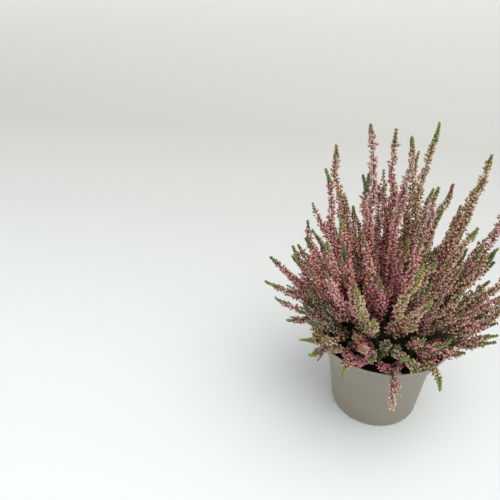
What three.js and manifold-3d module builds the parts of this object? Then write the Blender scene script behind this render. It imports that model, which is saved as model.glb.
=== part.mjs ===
// A potted heather: a thin nursery pot, its peat root ball, and the stems that stand in the peat.
// Millimetres, +Z up. The origin is the middle of the pot's underside, the pot's front faces -Y.
import * as THREE from 'three';
import { mergeVertices } from 'three/addons/utils/BufferGeometryUtils.js';
import Module from 'manifold-3d';

// ---- the pot
const BASE_RADIUS = 43;
const BEND_RADIUS = 49.5; // where the straight lower wall would meet the flared collar
const BEND_HEIGHT = 58;
const BEND_SPREAD = 10; // the bend is eased over this much height, up and down
const RIM_RADIUS = 65;
const RIM_HEIGHT = 97;
const RIM_LIP = 0.8; // how far the rounded rim stands out from the wall
const RIM_BAND = 3; // height of the rim, up to its rounding
const RIM_ROUND = 1.6;
const WALL = 1.2;
const FLOOR = 1.6;
const POT_SIDES = 30;
const NOTCHES = 10; // drainage notches round the foot
const FIRST_NOTCH = 30; // degrees from +X
const NOTCH_WIDTH = 5;
const NOTCH_HEIGHT = 2.6;
const NOTCH_ARCH = 1.5; // height of its rounded top

// ---- the peat
const CLEAR = 0.3; // between pieces that touch
const PEAT_HEIGHT = 89; // the level middle
const PEAT_FALL = 2.5; // the peat sinks by this much at the wall
const PEAT_LEVEL_RADIUS = 54;
const HOLE_DEPTH = 9;

// ---- how a stem grows, by the length along it from the peat
const ROOT_MIDDLE = 6; // distance of an upright stem's foot from the middle
const ROOT_SPREAD = 50; // and how much further out a level stem's foot stands
const FIRST_LEAN = 0.4; // share of its lean that a stem starts with
const FULL_LEAN_AT = 45;
const TIP_CURL = 0.45; // share of its lean that a stem loses again over CURL_LENGTH
const CURL_LENGTH = 90;
const DROOP_FROM = 22; // a stem that droops bends from here
const DROOP_LENGTH = 26;
const HANGS = 40; // a stem that droops more than this has no side spires
const FORK_LENGTH = 35; // a side spire swings clear over this length
const STEP = 4; // for following a stem

// ---- the relief on a stem: pairs of buds or leaves, each pair crossing the last
const STEM_HALF = 1.5; // in the peat
const LEAF_OUT = 2.6; // just above the peat
const LONG_LEAF_OUT = 4.2; // from LONG_LEAF_AT on, where the stems have parted
const LONG_LEAF_AT = 30;
const LEAF_IN = 1.6;
const LEAF_PITCH = 16;
const NECK = 6; // bare wood above the peat
const BUD_OUT = 4.9;
const BUD_IN = 1.7;
const BUD_PITCH = 7.6;
const SLIMMING = 0.25; // share of their size that the buds lose towards the tip
const TIP_OUT = 2.6;
const TIP_IN = 1.7;
const TIP_LENGTH = 15; // the leafy end beyond the last buds
const TIP_SLIMMING = 0.5;
const TIP_STOPS = [11, 3.5]; // rings this far short of the end
const BARE_SHARE = 0.34; // of an upright stem's length before its first buds
const LEVEL_BARE_SHARE = 0.22; // and of a level stem's
const LIFT = 2.6; // buds and leaves point up along the stem by this much
const TWIST = 5; // degrees that each pair is turned beyond square to the last

// ---- the stems, ring by ring from the middle. Each ring's first stem stands at `turn` degrees
// from +X, and its stems follow evenly, anticlockwise seen from above. `lean` is degrees from
// upright where the stem leans most, and `spread` what its side spires lean more or less than it.
// `lengths` are along each stem, and `droops` bend it down further out, or up where negative.
const RINGS = [
  { lean: 0, spread: 0, turn: 0, sides: [0], lengths: [195] },
  { lean: 7, spread: 3, turn: 54, sides: [1], lengths: [200, 194, 210, 152, 164] },
  { lean: 20, spread: 3, turn: 15, sides: [1],
    lengths: [185, 148, 136, 146, 189, 138, 144, 146, 148],
    droops: [3, 4, 0, -3, -1, 0, 0, 0, 4] },
  { lean: 34, spread: 4, turn: 12, sides: [2, 1],
    lengths: [152, 140, 130, 128, 130, 104, 118, 136, 124, 154, 122, 130],
    droops: [0, 0, 0, 0, 0, 4, 0, -7, 0, 0, -12, -4] },
  { lean: 54, spread: 7, turn: 0, sides: [2],
    lengths: [108, 102, 100, 98, 98, 98, 106, 102, 74, 80, 74, 78, 80, 104],
    droops: [-12, -8, -10, -8, -10, 0, -14, 8, -24, -8, 0, 0, -14, -12] },
  { lean: 78, spread: 6, turn: 10, sides: [2, 1],
    lengths: [84, 76, 60, 74, 72, 82, 64, 52, 42, 64, 50, 60],
    droops: [-30, -34, 12, -30, -32, -46, -10, -26, 80, 92, 88, -34] },
];
const TURN_WOBBLE = 0.1; // of the space between two stems
const LEAN_WOBBLE = 1.5;
const SWAY = 3; // sideways at 100 mm along
const SIDE_SPACING = 0.3; // of a stem's own share of the ring, for its side spires
const SHORT_SIDE = 0.74; // a side spire's length as a share of its stem's
const LONG_SIDE = 0.92;
const LOW_FORK = 0.15; // where a side spire leaves its stem, as a share of the stem's length
const HIGH_FORK = 0.24;

// ---- the green shoots between them: turn, lean and length of each
const SHOOTS = [[272, 58, 40], [322, 62, 54], [20, 62, 56], [142, 64, 54], [199, 66, 48]];
const SHOOT_OUT = 4.2;
const SHOOT_IN = 1.7;
const SHOOT_PITCH = 5.5;

// Seeded draws, the same each time the file runs.
let seed = 20611;
function draw() {
  seed = (Math.imul(seed, 1664525) + 1013904223) >>> 0;
  return seed / 2 ** 32;
}
const between = (low, high) => low + (high - low) * draw();
const radians = THREE.MathUtils.degToRad;
const smooth = (x) => THREE.MathUtils.smoothstep(x, 0, 1);
const easeOut = (x) => Math.sin(THREE.MathUtils.clamp(x, 0, 1) * (Math.PI / 2));

const wasm = await Module();
wasm.setup();

function solid(geometry) {
  const bare = geometry.clone();
  bare.deleteAttribute('normal');
  bare.deleteAttribute('uv');
  const merged = mergeVertices(bare, 1e-4);
  return new wasm.Manifold(new wasm.Mesh({
    numProp: 3,
    vertProperties: new Float32Array(merged.attributes.position.array),
    triVerts: new Uint32Array(merged.index.array),
  }));
}

function geometryOf(manifold) {
  const mesh = manifold.getMesh();
  const geometry = new THREE.BufferGeometry();
  geometry.setAttribute('position', new THREE.BufferAttribute(mesh.vertProperties, 3));
  geometry.setIndex(new THREE.BufferAttribute(mesh.triVerts, 1));
  return geometry;
}

function piece(name, geometry, colour, roughness) {
  const material = new THREE.MeshStandardMaterial({ color: colour, roughness, metalness: 0 });
  const mesh = new THREE.Mesh(geometry, material);
  mesh.name = name;
  return mesh;
}

// ---------------------------------------------------------------- pot
// The outside of the wall as points [radius, height], from the foot to the rim.
function wallLine() {
  const foot = new THREE.Vector2(BASE_RADIUS, 0);
  const bend = new THREE.Vector2(BEND_RADIUS, BEND_HEIGHT);
  const rim = new THREE.Vector2(RIM_RADIUS, RIM_HEIGHT);
  const below = bend.clone().lerp(foot, BEND_SPREAD / BEND_HEIGHT);
  const above = bend.clone().lerp(rim, BEND_SPREAD / (RIM_HEIGHT - BEND_HEIGHT));
  const ease = new THREE.QuadraticBezierCurve(below, bend, above);
  return [foot, ...ease.getPoints(2), rim];
}

// The wall's radius at a height, inset by some thickness.
function wallRadius(height, inset = 0) {
  const line = wallLine();
  const above = Math.max(1, line.findIndex((point) => point.y >= height));
  const [a, b] = [line[above - 1], line[above]];
  return THREE.MathUtils.mapLinear(height, a.y, b.y, a.x, b.x) - inset;
}

function lathe(points) {
  return new THREE.LatheGeometry(points, POT_SIDES).rotateX(Math.PI / 2);
}

// A plain arch through the foot of the wall, extruded outwards from the pot's middle.
function notch(angle) {
  const half = NOTCH_WIDTH / 2;
  const arch = new THREE.Shape();
  arch.moveTo(-half, -1);
  arch.lineTo(half, -1);
  arch.lineTo(half, NOTCH_HEIGHT - NOTCH_ARCH);
  arch.lineTo(half / 2, NOTCH_HEIGHT);
  arch.lineTo(-half / 2, NOTCH_HEIGHT);
  arch.lineTo(-half, NOTCH_HEIGHT - NOTCH_ARCH);
  const cut = new THREE.ExtrudeGeometry(arch, { depth: WALL * 3 + 2, bevelEnabled: false });
  cut.rotateX(Math.PI / 2);
  cut.translate(0, WALL * 3 - BASE_RADIUS, 0);
  return solid(cut.rotateZ(angle + Math.PI / 2));
}

function pot() {
  const outside = wallLine().slice(0, -1);
  const inside = outside.slice(1).reverse().map((point) => new THREE.Vector2(point.x - WALL, point.y));
  const slope = (RIM_RADIUS - BEND_RADIUS) / (RIM_HEIGHT - BEND_HEIGHT);
  const rim = [
    [RIM_RADIUS - slope * RIM_BAND, RIM_HEIGHT - RIM_BAND],
    [RIM_RADIUS - slope * RIM_ROUND + RIM_LIP, RIM_HEIGHT - RIM_ROUND],
    [RIM_RADIUS + RIM_LIP / 2, RIM_HEIGHT],
    [RIM_RADIUS - WALL, RIM_HEIGHT],
  ].map(([radius, height]) => new THREE.Vector2(radius, height));
  let body = solid(lathe([
    new THREE.Vector2(0, 0),
    ...outside,
    ...rim,
    ...inside,
    new THREE.Vector2(wallRadius(FLOOR, WALL), FLOOR),
    new THREE.Vector2(0, FLOOR),
  ]));
  for (let i = 0; i < NOTCHES; i += 1) {
    body = body.subtract(notch(radians(FIRST_NOTCH + (360 * i) / NOTCHES)));
  }
  return geometryOf(body);
}

// ---------------------------------------------------------------- how the stems stand
// Lean from upright, in degrees, at a length along a stem.
function leanAt(lean, droop, along) {
  const bent = droop * smooth((along - DROOP_FROM) / DROOP_LENGTH);
  if (along < FULL_LEAN_AT) {
    const rise = Math.sin((along / FULL_LEAN_AT) * (Math.PI / 2));
    return lean * (FIRST_LEAN + (1 - FIRST_LEAN) * rise) + bent;
  }
  return lean * (1 - TIP_CURL * smooth((along - FULL_LEAN_AT) / CURL_LENGTH)) + bent;
}

const rootRadius = (lean) => (lean > 0 ? ROOT_MIDDLE + (ROOT_SPREAD * lean) / 90 : 0);

// Where a stem is at a length along it: how far out from the pot's middle, and how high.
function reach(lean, droop, along) {
  let out = rootRadius(lean);
  let up = PEAT_HEIGHT + Math.min(0, along);
  for (let done = 0; done < along; done += STEP) {
    const length = Math.min(STEP, along - done);
    const angle = radians(leanAt(lean, droop, done + length / 2));
    out += Math.sin(angle) * length;
    up += Math.cos(angle) * length;
  }
  return { out, up };
}

// A point on a spire. A side spire leaves its stem at its fork, by a change of turn and lean.
function pointOn(spire, along) {
  const swing = spire.fork === undefined ? 0 : easeOut((along - spire.fork) / FORK_LENGTH);
  const lean = spire.lean + spire.leanAway * swing;
  const turn = radians(spire.turn + spire.turnAway * swing);
  const { out, up } = reach(lean, spire.droop, along);
  const aside = spire.sway * (Math.max(0, along) / 100) ** 2;
  return new THREE.Vector3(
    out * Math.cos(turn) - aside * Math.sin(turn),
    out * Math.sin(turn) + aside * Math.cos(turn),
    up,
  );
}

function sprayPlan(ring, index) {
  const share = 360 / ring.lengths.length;
  const lean = ring.lean + (ring.lean > 0 ? between(-LEAN_WOBBLE, LEAN_WOBBLE) : 0);
  const turn = ring.turn + share * (index + between(-TURN_WOBBLE, TURN_WOBBLE));
  const droop = ring.droops ? ring.droops[index] : 0;
  const length = ring.lengths[index];
  const sway = between(-SWAY, SWAY);
  const main = { lean, turn, droop, length, sway, leanAway: 0, turnAway: 0, twist: between(0, 90) };
  const spires = [main];
  const sides = droop > HANGS ? 0 : ring.sides[index % ring.sides.length];
  for (let side = 0; side < sides; side += 1) {
    const hand = side % 2 === 0 ? 1 : -1;
    spires.push({
      ...main,
      fork: length * between(LOW_FORK, HIGH_FORK),
      length: length * between(SHORT_SIDE, LONG_SIDE),
      leanAway: hand * ring.spread * between(0.8, 1.1),
      turnAway: hand * share * SIDE_SPACING * between(0.85, 1.1),
      twist: between(0, 90),
    });
  }
  return spires;
}

// ---------------------------------------------------------------- relief on a stem
const budsFrom = ({ length, lean }) => length * THREE.MathUtils.lerp(BARE_SHARE, LEVEL_BARE_SHARE, lean / 90);

// Radii of the high and low corners of a ring, at a length along a spire.
function reliefAt(spire, along) {
  const tipFrom = spire.length - TIP_LENGTH;
  if (along < budsFrom(spire)) {
    return [THREE.MathUtils.lerp(LEAF_OUT, LONG_LEAF_OUT, smooth(along / LONG_LEAF_AT)), LEAF_IN];
  }
  if (along < tipFrom) {
    const slimming = 1 - SLIMMING * smooth((along - budsFrom(spire)) / (tipFrom - budsFrom(spire)));
    return [BUD_OUT * slimming, BUD_IN * slimming];
  }
  const slimming = 1 - TIP_SLIMMING * ((along - tipFrom) / TIP_LENGTH);
  return [TIP_OUT * slimming, TIP_IN * slimming];
}

// The lengths along a spire at which it has a ring of corners: leaves, then buds, then the tip.
function ringStops(spire, leafy) {
  const from = spire.fork === undefined ? NECK : spire.fork + LEAF_PITCH;
  const tipFrom = spire.length - TIP_LENGTH;
  const leavesTo = leafy ? tipFrom : Math.max(from, budsFrom(spire));
  const evenly = (start, end, pitch) => {
    const steps = Math.max(1, Math.round((end - start) / pitch));
    return Array.from({ length: steps }, (_, i) => start + ((end - start) * i) / steps);
  };
  return [
    ...(leavesTo > from ? evenly(from, leavesTo, leafy ? SHOOT_PITCH : LEAF_PITCH) : []),
    ...evenly(leavesTo, tipFrom, BUD_PITCH),
    ...TIP_STOPS.map((short) => spire.length - short),
  ];
}

// A four-cornered column along the spire. Corners stand high and low by turns, both round each
// ring and from ring to ring, so that every high corner is the point of one bud or leaf.
function column(spire, leafy = false) {
  const corners = [];
  const addRing = (along, high, low, turned, lift) => {
    const centre = pointOn(spire, along);
    const tangent = pointOn(spire, along + 1).sub(pointOn(spire, along - 1)).normalize();
    const turn = radians(spire.turn);
    const sideways = new THREE.Vector3(-Math.sin(turn), Math.cos(turn), 0);
    const across = new THREE.Vector3().crossVectors(tangent, sideways).normalize();
    sideways.crossVectors(across, tangent);
    for (let i = 0; i < 4; i += 1) {
      const isHigh = (i + turned) % 2 === 0;
      const angle = radians(spire.twist + turned * TWIST + i * 90);
      const radius = isHigh ? high : low;
      corners.push(centre.clone()
        .addScaledVector(sideways, Math.cos(angle) * radius)
        .addScaledVector(across, Math.sin(angle) * radius)
        .addScaledVector(tangent, isHigh ? lift : 0));
    }
  };
  let rings = 0;
  if (spire.fork === undefined) {
    addRing(-HOLE_DEPTH + CLEAR, STEM_HALF, STEM_HALF, 0, 0);
    addRing(0.5, STEM_HALF, STEM_HALF, 0, 0);
    rings = 2;
  } else {
    addRing(spire.fork, LEAF_IN, LEAF_IN, 0, 0);
    rings = 1;
  }
  for (const along of ringStops(spire, leafy)) {
    const [high, low] = leafy ? [SHOOT_OUT, SHOOT_IN] : reliefAt(spire, along);
    addRing(along, high, low, rings, LIFT);
    rings += 1;
  }
  const tip = corners.push(pointOn(spire, spire.length)) - 1;

  const faces = [[0, 2, 1], [0, 3, 2]];
  for (let ring = 1; ring < rings; ring += 1) {
    for (let i = 0; i < 4; i += 1) {
      const a = (ring - 1) * 4 + i;
      const b = (ring - 1) * 4 + ((i + 1) % 4);
      const c = ring * 4 + i;
      const d = ring * 4 + ((i + 1) % 4);
      // The cut runs between the two low corners, which leaves each high one as a point.
      if ((i + ring - 1) % 2 === 0) faces.push([a, b, c], [b, d, c]);
      else faces.push([a, b, d], [a, d, c]);
    }
  }
  for (let i = 0; i < 4; i += 1) {
    faces.push([(rings - 1) * 4 + i, (rings - 1) * 4 + ((i + 1) % 4), tip]);
  }
  const geometry = new THREE.BufferGeometry().setFromPoints(corners);
  geometry.setIndex(faces.flat());
  return geometry;
}

// ---------------------------------------------------------------- peat
function peat(feet) {
  const floor = FLOOR + CLEAR;
  const edge = PEAT_HEIGHT - PEAT_FALL;
  const inset = WALL + CLEAR;
  let body = solid(lathe([
    new THREE.Vector2(0, floor),
    new THREE.Vector2(wallRadius(floor, inset), floor),
    new THREE.Vector2(BEND_RADIUS - inset, BEND_HEIGHT),
    new THREE.Vector2(wallRadius(edge, inset), edge),
    new THREE.Vector2(PEAT_LEVEL_RADIUS, PEAT_HEIGHT),
    new THREE.Vector2(0, PEAT_HEIGHT),
  ]));
  const width = 2 * STEM_HALF + 2 * CLEAR;
  for (const foot of feet) {
    const hole = new THREE.BoxGeometry(width, width, HOLE_DEPTH * 2);
    hole.rotateZ(foot.angle);
    hole.translate(foot.x, foot.y, PEAT_HEIGHT);
    body = body.subtract(solid(hole));
  }
  return geometryOf(body);
}

// ---------------------------------------------------------------- the plant
const heather = new THREE.Group();
heather.name = 'potted_heather';
const feet = [];

function plantStem(name, spires, leafy, colour) {
  let body = solid(column(spires[0], leafy));
  for (const side of spires.slice(1)) body = body.add(solid(column(side, leafy)));
  const foot = pointOn(spires[0], 0);
  feet.push({ x: foot.x, y: foot.y, angle: radians(spires[0].turn + spires[0].twist + 45) });
  heather.add(piece(name, geometryOf(body), colour, 0.8));
}

const ROSE = new THREE.Color('#b5656f');
const TAN = new THREE.Color('#a98070');
let sprays = 0;
for (const ring of RINGS) {
  for (let index = 0; index < ring.lengths.length; index += 1) {
    const name = `spray_${String(sprays).padStart(2, '0')}`;
    plantStem(name, sprayPlan(ring, index), false, ROSE.clone().lerp(TAN, draw()));
    sprays += 1;
  }
}
SHOOTS.forEach(([turn, lean, length], index) => {
  const shoot = { lean, turn, droop: 0, sway: 0, length, leanAway: 0, turnAway: 0, twist: between(0, 90) };
  plantStem(`leafy_shoot_${index}`, [shoot], true, '#4f7036');
});

heather.add(piece('soil', peat(feet), '#2b211c', 0.95));
heather.add(piece('pot', pot(), '#8a857a', 0.55));

export default heather;
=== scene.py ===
import math

import bmesh
import bpy
import numpy as np
from mathutils import Matrix, Vector, noise


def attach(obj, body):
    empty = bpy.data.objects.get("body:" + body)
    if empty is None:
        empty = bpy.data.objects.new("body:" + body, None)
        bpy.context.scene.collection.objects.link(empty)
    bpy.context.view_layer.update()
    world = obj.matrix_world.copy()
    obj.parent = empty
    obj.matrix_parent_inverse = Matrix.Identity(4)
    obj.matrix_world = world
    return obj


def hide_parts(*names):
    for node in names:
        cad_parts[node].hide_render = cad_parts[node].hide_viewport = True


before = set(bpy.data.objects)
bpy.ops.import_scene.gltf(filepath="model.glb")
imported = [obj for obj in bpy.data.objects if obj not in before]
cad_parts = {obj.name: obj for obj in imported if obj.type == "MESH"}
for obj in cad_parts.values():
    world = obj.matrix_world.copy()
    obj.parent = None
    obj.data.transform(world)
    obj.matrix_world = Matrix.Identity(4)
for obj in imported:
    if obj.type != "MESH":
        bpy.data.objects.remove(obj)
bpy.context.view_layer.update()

# A potted heather. Sizes are in metres, +Z is up, and the pot's underside stands on z = 0.
# In the plant's own sections plain numbers are millimetres, and leans and turns are degrees.


# ---------------------------------------- pot
# One moulded nursery pot in thin taupe plastic: a tapered wall that flares into a collar, a
# rolled rim, a flat floor, and small drainage notches through the foot of the wall.
mm = 0.001
foot_radius, bend_radius, rim_radius = 43 * mm, 49.5 * mm, 65 * mm
bend_height, rim_height = 58 * mm, 97 * mm
bend_ease, bend_steps = 10 * mm, 8  # the bend is spread over this much height, up and down
collar_slope = (rim_radius - bend_radius) / (rim_height - bend_height)
wall, floor_depth, foot_round = 1.2 * mm, 1.6 * mm, 0.6 * mm
lip_out, lip_height, lip_round = 0.8 * mm, 3 * mm, 1.1 * mm
notches, notch_width, notch_height = 10, 5 * mm, 2.6 * mm
notch_arch, arch_steps = 1.5 * mm, 8  # the round top of a notch
cutter_from, cutter_depth = foot_radius - 4 * wall, 6 * wall
first_notch = math.radians(30)
round_steps, pot_crease = 144, 40
# The paler collar and rim are a painted highlight where the rim catches the light; the foot is simply
# paler.
taupe, pale_foot, collar_highlight, rim_highlight = "#938b7e", "#a39c8e", "#9d968a", "#b3aea3"


def colour(text):
    """A colour written as #rrggbb, in the linear values that shaders take."""
    parts = [int(text[i:i + 2], 16) / 255 for i in (1, 3, 5)]
    linear = [p / 12.92 if p <= 0.04045 else ((p + 0.055) / 1.055) ** 2.4 for p in parts]
    return (*linear, 1.0)


def fed(tree, node, **values):
    """The node, with inputs set or linked by the sockets' names, and _ for every space."""
    for name, value in values.items():
        socket = node.inputs[name.replace("_", " ")]
        if isinstance(value, bpy.types.NodeSocket):
            tree.links.new(value, socket)
        else:
            socket.default_value = value
    return node


def new_node(tree, kind, **values):
    return fed(tree, tree.nodes.new("ShaderNode" + kind), **values)


def new_material(name):
    """A material with its node tree and its Principled shader."""
    material = bpy.data.materials.new(name)
    material.use_nodes = True
    return material, material.node_tree, material.node_tree.nodes["Principled BSDF"]


def new_group(name, inputs, outputs):
    """An empty node group with named sockets, {name: (type, default)} and {name: type}, the
    sockets that it is given, and the node that puts out."""
    tree = bpy.data.node_groups.new(name, "ShaderNodeTree")
    for socket, (kind, default) in inputs.items():
        item = tree.interface.new_socket(socket, in_out="INPUT", socket_type=kind)
        item.default_value = default
    for socket, kind in outputs.items():
        tree.interface.new_socket(socket, in_out="OUTPUT", socket_type=kind)
    return tree, tree.nodes.new("NodeGroupInput").outputs, tree.nodes.new("NodeGroupOutput")


def placed_group(tree, group, **values):
    """What a group puts out, with these values and links."""
    node = tree.nodes.new("ShaderNodeGroup")
    node.node_tree = group
    return fed(tree, node, **values).outputs


def sum_of(tree, operation, *operands):
    """What a Math node makes of a socket first, and then sockets or plain numbers."""
    node = tree.nodes.new("ShaderNodeMath")
    node.operation = operation
    for socket, operand in zip(node.inputs, operands):
        if isinstance(operand, bpy.types.NodeSocket):
            tree.links.new(operand, socket)
        else:
            socket.default_value = operand
    return node.outputs[0]


def ramp(tree, source, *stops):
    """The colours of a ramp with (position, colour) stops, along a socket's values."""
    node = new_node(tree, "ValToRGB", Fac=source)
    row = node.color_ramp.elements
    (row[0].position, row[0].color), (row[1].position, row[1].color) = stops[0], stops[-1]
    for position, shade in stops[1:-1]:
        row.new(position).color = shade
    return node.outputs["Color"]


def object_place(tree):
    return new_node(tree, "TexCoord").outputs["Object"]


def between_values(tree, height, least, most):
    """Values from least to most, by a height."""
    return new_node(tree, "MapRange", Value=height, To_Min=least, To_Max=most).outputs["Result"]


def relief(tree, height, strength, distance):
    """The normals of a fine relief, by a height."""
    bump = new_node(tree, "Bump", Strength=strength, Distance=distance, Height=height)
    return bump.outputs["Normal"]


def mottling():
    """Soft lighter and darker spots that lie in the surface, for every material here."""
    tree, given, put_out = new_group(
        "mottling",
        {"Colour": ("NodeSocketColor", (0.5, 0.5, 0.5, 1)),
         "Spots per metre": ("NodeSocketFloat", 300.0),
         "Depth": ("NodeSocketFloat", 0.1)},
        {"Colour": "NodeSocketColor", "Height": "NodeSocketFloat"},
    )
    spots = new_node(tree, "TexNoise", Vector=object_place(tree), Scale=given["Spots per metre"],
                     Detail=3.0, Roughness=0.55).outputs["Fac"]
    centred = sum_of(tree, "SUBTRACT", spots, 0.5)
    value = sum_of(tree, "MULTIPLY_ADD", centred, given["Depth"], 1.0)
    shade = new_node(tree, "HueSaturation", Value=value, Color=given["Colour"])
    fed(tree, put_out, Colour=shade.outputs["Color"], Height=spots)
    return tree


mottled = mottling()


def mottle(tree, source, spots_per_metre, depth):
    """A colour with spots in it, and their height."""
    made = placed_group(tree, mottled, Colour=source, Spots_per_metre=spots_per_metre, Depth=depth)
    return made["Colour"], made["Height"]


def pot_plastic():
    """Recycled plastic: broad, faint clouds, a paler foot, and a painted highlight up the collar and
    along the top of the rolled rim.
    """
    material, tree, shader = new_material("taupe_plastic")
    place = new_node(tree, "SeparateXYZ", Vector=object_place(tree)).outputs
    height = sum_of(tree, "DIVIDE", place["Z"], rim_height)
    # Paler at the foot, and a painted highlight up the collar to the rim.
    pale_foot_and_highlit_rim = ramp(tree, height, (0.0, colour(pale_foot)), (0.05, colour(taupe)),
                (0.93, colour(taupe)), (0.985, colour(collar_highlight)), (1.0, colour(rim_highlight)))
    clouded, clouds = mottle(tree, pale_foot_and_highlit_rim, spots_per_metre=28.0, depth=0.16)
    grained, grain = mottle(tree, clouded, spots_per_metre=900.0, depth=0.09)
    fed(tree, shader, Base_Color=grained, Specular_IOR_Level=0.45,
        Roughness=between_values(tree, clouds, least=0.42, most=0.62),
        Normal=relief(tree, grain, strength=0.12, distance=0.2 * mm))
    return material


def spun(points, steps=round_steps):
    """A line of (radius, height) points spun round the pot's axis into a closed body."""
    body = bmesh.new()
    corners = [body.verts.new((radius, 0, height)) for radius, height in points]
    edges = [body.edges.new(pair) for pair in zip(corners, corners[1:])]
    bmesh.ops.spin(body, geom=corners + edges, cent=(0, 0, 0), axis=(0, 0, 1), dvec=(0, 0, 0),
                   angle=math.tau, steps=steps, use_merge=True, use_duplicate=False)
    bmesh.ops.remove_doubles(body, verts=body.verts, dist=1e-6)
    bmesh.ops.recalc_face_normals(body, faces=body.faces)
    return body


def eased_wall():
    """The outside of the wall from foot to collar, with the bend rounded off."""
    foot, bend = Vector((foot_radius, 0)), Vector((bend_radius, bend_height))
    below = bend.lerp(foot, bend_ease / bend_height)
    above = bend.lerp(Vector((rim_radius, rim_height)), bend_ease / (rim_height - bend_height))
    shares = [step / bend_steps for step in range(bend_steps + 1)]
    return [below.lerp(bend, share).lerp(bend.lerp(above, share), share) for share in shares]


def hand_over(piece, materials, slot, *nodes):
    """Gives a finished piece its materials, puts it in the scene under the root body, and hides the
    nodes that it stands in for.
    """
    for material in materials:
        piece.data.materials.append(material)
    bpy.context.scene.collection.objects.link(piece)
    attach(piece, "root")
    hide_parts(*nodes)


def smooth_shaded(mesh, degrees):
    """Smooth faces, with a crease at every edge sharper than this."""
    for face in mesh.polygons:
        face.use_smooth = True
    mesh.set_sharp_from_angle(angle=math.radians(degrees))


def notch_cutter():
    """The notches as arches that stand through the foot of the wall, in one loose mesh."""
    cutter = bmesh.new()
    half = notch_width / 2
    turns = [math.pi * step / arch_steps for step in range(arch_steps + 1)]
    arch = [(half * math.cos(turn), notch_height - notch_arch * (1 - math.sin(turn))) for turn in turns]
    for index in range(notches):
        base = [cutter.verts.new((x, cutter_from, z)) for x, z in [(-half, -mm), (half, -mm)] + arch]
        grown = bmesh.ops.extrude_face_region(cutter, geom=[cutter.faces.new(base)])["geom"]
        ends = [v for v in grown if isinstance(v, bmesh.types.BMVert)]
        bmesh.ops.translate(cutter, verts=ends, vec=(0, cutter_depth, 0))
        turn = Matrix.Rotation(first_notch + math.tau * index / notches - math.pi / 2, 3, "Z")
        bmesh.ops.rotate(cutter, verts=base + ends, cent=(0, 0, 0), matrix=turn)
    bmesh.ops.recalc_face_normals(cutter, faces=cutter.faces)
    return cutter


def pot_mesh():
    """The pot's whole section, spun: floor and foot, wall, rolled lip, and the inside again."""
    outside = eased_wall()
    inside = [(p.x - wall, p.y) for p in reversed(outside)]
    foot = [(0, 0), (foot_radius - foot_round, 0), (foot_radius - 0.1 * mm, 0.4 * foot_round),
            (foot_radius + 0.1 * mm, 1.5 * foot_round)]
    lip_foot = rim_radius - collar_slope * lip_height
    lip = [(lip_foot, rim_height - lip_height),
           (lip_foot + 0.7 * lip_out, rim_height - lip_height + 0.5 * mm)]
    lip += [(rim_radius + out * lip_out, rim_height - down * lip_round)
            for out, down in ((0.6, 1.4), (1.0, 0.8), (0.7, 0.25), (0, 0))]
    lip += [(rim_radius - back * wall, rim_height - down * lip_round)
            for back, down in ((0.7, 0.1), (1.0, 0.6))]
    inner_foot = foot_radius + (bend_radius - foot_radius) * floor_depth / bend_height - wall
    floor = [(inner_foot, floor_depth), (0, floor_depth)]
    body = spun(foot + [tuple(p) for p in outside] + lip + inside + floor)
    mesh = bpy.data.meshes.new("nursery_pot")
    body.to_mesh(mesh)
    body.free()
    return mesh


def without(mesh, cutter):
    """The mesh with the cutter's bodies taken out of it."""
    whole = bpy.data.objects.new("whole", mesh)
    tool_mesh = bpy.data.meshes.new("cutter")
    cutter.to_mesh(tool_mesh)
    cutter.free()
    tool = bpy.data.objects.new("cutter", tool_mesh)
    for one in (whole, tool):
        bpy.context.scene.collection.objects.link(one)
    cut = whole.modifiers.new("notches", "BOOLEAN")
    cut.operation, cut.solver, cut.object = "DIFFERENCE", "EXACT", tool
    cut.use_self = True
    bpy.context.view_layer.update()
    shown = whole.evaluated_get(bpy.context.evaluated_depsgraph_get())
    result = bpy.data.meshes.new_from_object(shown)
    for one in (whole, tool):
        bpy.data.objects.remove(one)
    return result


pot_shape = without(pot_mesh(), notch_cutter())
pot_shape.materials.clear()
smooth_shaded(pot_shape, pot_crease)
hand_over(bpy.data.objects.new("nursery_pot", pot_shape), [pot_plastic()], "pot", "pot")


# ---------------------------------------- peat
# The root ball that fills the pot to just below the rim: damp dark peat, crumbly on top, that
# sinks a little towards the wall.
peat_height, peat_fall, level_radius = 89 * mm, 2.5 * mm, 54 * mm
clear = 0.3 * mm
shoulder_out, shoulder_down = 1.5 * mm, 1.2 * mm
bed_rings, bed_steps = 26, 96
lumps_per_metre, lump_rise, lump_sink = 160, 1.1 * mm, 0.6 * mm
lump_detail = 0.8, 2.0, 4  # how fast the finer lumps fade, how much finer each is, how many
crumbs, crumb_reach, crumb_sunk = 1500, rim_radius - 6 * mm, 0.5 * mm
crumb_radii, crumb_skew, crumb_flatness, crumb_tones = (0.35, 1.5), 1.3, (0.6, 1.2), (0.5, 2.1)
crumb_dents, dents_per_radius = 0.35, 1.7
crumb_fall = 0.6  # how much of the bed's fall towards the wall the crumbs follow
peat_brown = "#2a211b"


def carried(tree, name, output):
    """The values that the mesh carries under this name."""
    node = tree.nodes.new("ShaderNodeAttribute")
    node.attribute_name = name
    return node.outputs[output]


def peat():
    """Dark and dull, with coarse and fine crumbs that take their tint from the mesh."""
    material, tree, shader = new_material("damp_peat")
    coarse, _ = mottle(tree, carried(tree, "tint", "Color"), spots_per_metre=260.0, depth=1.2)
    fine, grain = mottle(tree, coarse, spots_per_metre=1700.0, depth=1.0)
    fed(tree, shader, Base_Color=fine, Specular_IOR_Level=0.3, Roughness=0.9,
        Normal=relief(tree, grain, strength=0.5, distance=0.5 * mm))
    return material


def shape_of(body):
    """A small closed shape as corners and triangles, ready to be repeated."""
    bmesh.ops.triangulate(body, faces=body.faces)
    body.verts.index_update()
    points = np.array([v.co[:] for v in body.verts])
    triangles = np.array([[v.index for v in face.verts] for face in body.faces])
    body.free()
    return points, triangles


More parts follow.
